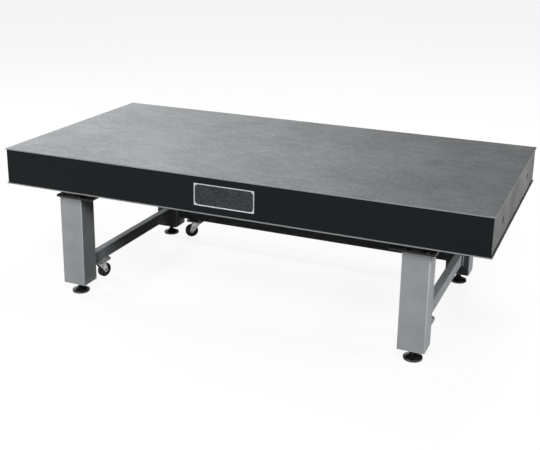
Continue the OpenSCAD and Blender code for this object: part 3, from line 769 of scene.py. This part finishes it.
def makeStud(corner, look):
    low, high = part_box("foot_stud_" + corner)
    centre = (low + high) / 2
    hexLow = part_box("foot_base_" + corner)[1].z
    hexHigh = hexLow + look["hexHeight"]
    form = bmesh.new()
    start = Vector((centre.x, centre.y, hexHigh))
    capRings(form, threadRings(form, start, alongZ, high.z - hexHigh, look))
    half = look["hexFlats"] / 2
    point = half / math.cos(math.pi / 6)
    turns = [2 * math.pi * i / look["hexPoints"] for i in range(look["hexPoints"])]
    hexagon = [half / math.cos(turn % (math.pi / 3) - math.pi / 6) for turn in turns]
    rings = []
    for z, limit in ((hexLow, point), (hexHigh - look["hexChamfer"], point), (hexHigh, look["hexTurned"])):
        radii = [min(radius, limit) for radius in hexagon]
        rings.append(ringAround(form, Vector((centre.x, centre.y, z)), alongX, alongY, radii))
    joinRings(form, rings)
    capRings(form, rings)
    name = "threaded_stud_" + corner
    piece = newPiece(name, form, "blackOxide", "foot_" + corner, smooth=False)
    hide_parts("foot_stud_" + corner)


for corner in corners:
    makeStud(corner, footStud)
print("threaded studs made")


liftThread = {
    "root": 0.01195,
    "crest": 0.0104,
    "outer": 0.0121,  # reaches just into the block round the hole
    "pitch": 0.003,
    "steps": 36,
    "fade": 0.003,
}


def makeLiftThread(corner, look):
    hole = mounts["lift_" + corner]  # its place is halfway down the hole
    depth = hole["dims"]["length_mm"] / 1000
    start = Vector([middle + way * depth / 2 for middle, way in zip(hole["pos_m"], hole["axis"])])
    inwards = -Vector(hole["axis"])
    form = bmesh.new()
    inner = threadRings(form, start, inwards, depth, look)
    sideways = inwards.orthogonal().normalized()
    upwards = inwards.cross(sideways)
    radii = [look["outer"]] * look["steps"]
    outer = [ringAround(form, start + inwards * s, sideways, upwards, radii) for s in (0.0, depth)]
    joinRings(form, [inner[0], outer[0], outer[1], inner[-1]])
    newPiece("lift_thread_" + corner, form, "blockSteel", "table_top", smooth=False)


for corner in corners:
    makeLiftThread(corner, liftThread)
print("lifting threads cut")


# Weld beads: round the rails' end plates and along the pads under the rails

weldBead = {
    "radius": 0.0028,
    "ripple": 0.14,
    "pitch": 0.004,
    "samples": 3,  # rings in each ripple
    "ringPoints": 8,
    "endShare": 0.5,  # how thick an open bead is at its ends
    "plateWidth": 0.056,
    "plateHeight": 0.06,
    "plateCorner": 0.004,
    "cornerSteps": 4,
    "padLength": 0.084,
    "padSide": 0.0185,
    "padLift": 0.0012,
}


def addBead(form, path, normal, look, closed):
    rings = []
    gone = 0.0
    for i, point in enumerate(path):
        before = path[i - 1] if i or closed else point
        after = path[(i + 1) % len(path)] if i + 1 < len(path) or closed else point
        tangent = (after - before).normalized()
        gone += (point - before).length
        swell = 1 + look["ripple"] * math.sin(2 * math.pi * gone / look["pitch"])
        if not closed and i in (0, len(path) - 1):
            swell = look["endShare"]
        radii = [look["radius"] * swell] * look["ringPoints"]
        rings.append(ringAround(form, point, normal, tangent.cross(normal), radii))
    joinRings(form, rings, closed)
    if not closed:
        capRings(form, rings)


def evenSteps(path, step, closed):
    points = []
    for a, b in neighbours(path, closed):
        count = max(1, round((b - a).length / step))
        points += [a.lerp(b, i / count) for i in range(count)]
    return points if closed else points + [path[-1]]


def plateOutline(centre, across, look):
    bend = look["plateCorner"]
    halfAcross, halfUp = look["plateWidth"] / 2 - bend, look["plateHeight"] / 2 - bend
    outline = []
    for quarter, (a, b) in enumerate(((1, 1), (-1, 1), (-1, -1), (1, -1))):
        for i in range(look["cornerSteps"] + 1):
            turn = math.pi / 2 * (quarter + i / look["cornerSteps"])
            outline.append(centre + across * (a * halfAcross + bend * math.cos(turn))
                           + alongZ * (b * halfUp + bend * math.sin(turn)))
    return outline


def makeWelds(rail, along, across, casters, look):
    low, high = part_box(rail)
    middle = (low + high) / 2
    step = look["pitch"] / look["samples"]
    halfLength = (high - low).dot(along) / 2
    form = bmesh.new()
    for end in (-1, 1):
        centre = middle + along * (end * halfLength)
        centre.z = high.z - look["plateHeight"] / 2
        addBead(form, evenSteps(plateOutline(centre, across, look), step, True), along, look, True)
    for corner in casters:
        swivel = Vector(joints[f"swivel_{corner}_turn"]["pos_m"])
        for side in (-1, 1):
            centre = swivel + across * (side * look["padSide"])
            centre.z = high.z - look["plateHeight"] + look["padLift"]
            ends = [centre + along * (end * look["padLength"] / 2) for end in (-1, 1)]
            addBead(form, evenSteps(ends, step, False), alongZ, look, False)
    newPiece(rail + "_welds", form, "framePaint", "frame")


makeWelds("left_side_rail", alongY, alongX, ["fl"], weldBead)
makeWelds("right_side_rail", alongY, alongX, ["fr"], weldBead)
makeWelds("rear_rail", alongX, alongY, ["rl", "rr"], weldBead)
print("weld beads laid")


# Floor, world and lamps

studio = {
    "floorSize": 40.0,
    "floorColour": (0.7, 0.7, 0.7, 1),
    "floorBounce": (0.05, 0.05, 0.05, 1),  # what the floor throws back on to the table
    "floorGlow": 0.9,  # share of plain white that the camera sees
    "glowInMetal": 0.2,  # the same share in reflections
    "fill": 0.012,  # light from all round
    "darkWay": (0.6, 0.78, 0.2),  # the darker corner lies this way
    "darkFrom": 0.36,
    "darkTo": 0.68,
    "darkShare": 0.04,
}


def makeFloor(look):
    form = bmesh.new()
    bmesh.ops.create_grid(form, x_segments=2, y_segments=2, size=look["floorSize"] / 2)
    mesh = bpy.data.meshes.new("studioFloor")
    form.to_mesh(mesh)
    form.free()
    material = bpy.data.materials.new("paleFloor")
    material.use_nodes = True
    tree = material.node_tree
    tree.nodes.clear()
    path = addNode(tree, "ShaderNodeLightPath").outputs
    colour = blendColour(tree, path["Is Diffuse Ray"], look["floorColour"], look["floorBounce"])
    diffuse = addNode(tree, "ShaderNodeBsdfDiffuse", {"Color": colour})
    glow = addNode(tree, "ShaderNodeEmission", {"Color": (1, 1, 1, 1), "Strength": 1.0})
    seen = calc(tree, "MAXIMUM", path["Is Camera Ray"], path["Is Transmission Ray"])
    inMetal = shareOf(tree, path["Is Glossy Ray"], look["glowInMetal"])
    share = calc(tree, "MAXIMUM", shareOf(tree, seen, look["floorGlow"]), inMetal)
    mixed = addNode(tree, "ShaderNodeMixShader", {0: share, 1: diffuse.outputs[0], 2: glow.outputs[0]})
    output = addNode(tree, "ShaderNodeOutputMaterial")
    tree.links.new(mixed.outputs[0], output.inputs["Surface"])
    mesh.materials.append(material)
    floor = bpy.data.objects.new("studioFloor", mesh)
    scene.collection.objects.link(floor)


# White behind the table, a plain fill round it, and one darker corner for what shines


def makeWorld(look):
    world = bpy.data.worlds.new("whiteStudio")
    scene.world = world
    world.use_nodes = True
    tree = world.node_tree
    tree.nodes.clear()
    path = addNode(tree, "ShaderNodeLightPath").outputs
    direction = addNode(tree, "ShaderNodeTexCoord").outputs["Generated"]
    towards = vectorCalc(tree, "DOT_PRODUCT", direction, look["darkWay"])
    shine = spread(tree, towards, look["darkFrom"], look["darkTo"], 1.0, look["darkShare"])
    lit = spread(tree, path["Is Glossy Ray"], 0.0, 1.0, look["fill"], shine)
    seen = calc(tree, "MAXIMUM", path["Is Camera Ray"], path["Is Transmission Ray"])
    strength = spread(tree, seen, 0.0, 1.0, lit, 1.0)
    back = addNode(tree, "ShaderNodeBackground", {"Color": (1, 1, 1, 1), "Strength": strength})
    output = addNode(tree, "ShaderNodeOutputWorld")
    tree.links.new(back.outputs[0], output.inputs["Surface"])


lamps = {  # one that shines is seen in reflections
    "frontLamp": {
        "place": (-1.8, -6.0, 4.2),
        "aim": (-0.2, -0.5, 0.4),
        "size": 2.6,
        "power": 300,
        "shines": True,
    },
    "keyLamp": {
        "place": (2.65, -7.05, 7.35),
        "aim": (0, -0.5, 0.4),
        "size": 2.6,
        "power": 710,
        "shines": False,
    },
    "rightLamp": {
        "place": (12.0, 0.5, 3.8),
        "aim": (0.9, 0, 0.4),
        "size": 1.4,
        "power": 1100,
        "shines": False,
    },
    "leftLamp": {
        "place": (-6.0, 0.6, 3.6),
        "aim": (-0.9, 0, 0.4),
        "size": 1.6,
        "power": 260,
        "shines": False,
    },
    "backLamp": {
        "place": (0.6, 4.4, 6.4),
        "aim": (0, 0.5, 0.4),
        "size": 2.2,
        "power": 360,
        "shines": False,
    },
}


def makeLamp(name, look):
    data = bpy.data.lights.new(name, "AREA")
    data.shape = "SQUARE"
    data.size = look["size"]
    data.energy = look["power"]
    lamp = bpy.data.objects.new(name, data)
    lamp.location = look["place"]
    lamp.visible_glossy = look["shines"]
    toAim = Vector(look["aim"]) - Vector(look["place"])
    lamp.rotation_euler = toAim.to_track_quat("-Z", "Y").to_euler()
    scene.collection.objects.link(lamp)


makeFloor(studio)
makeWorld(studio)
for name, look in lamps.items():
    makeLamp(name, look)
scene.view_settings.view_transform = "Standard"
print("floor, world and lamps made")
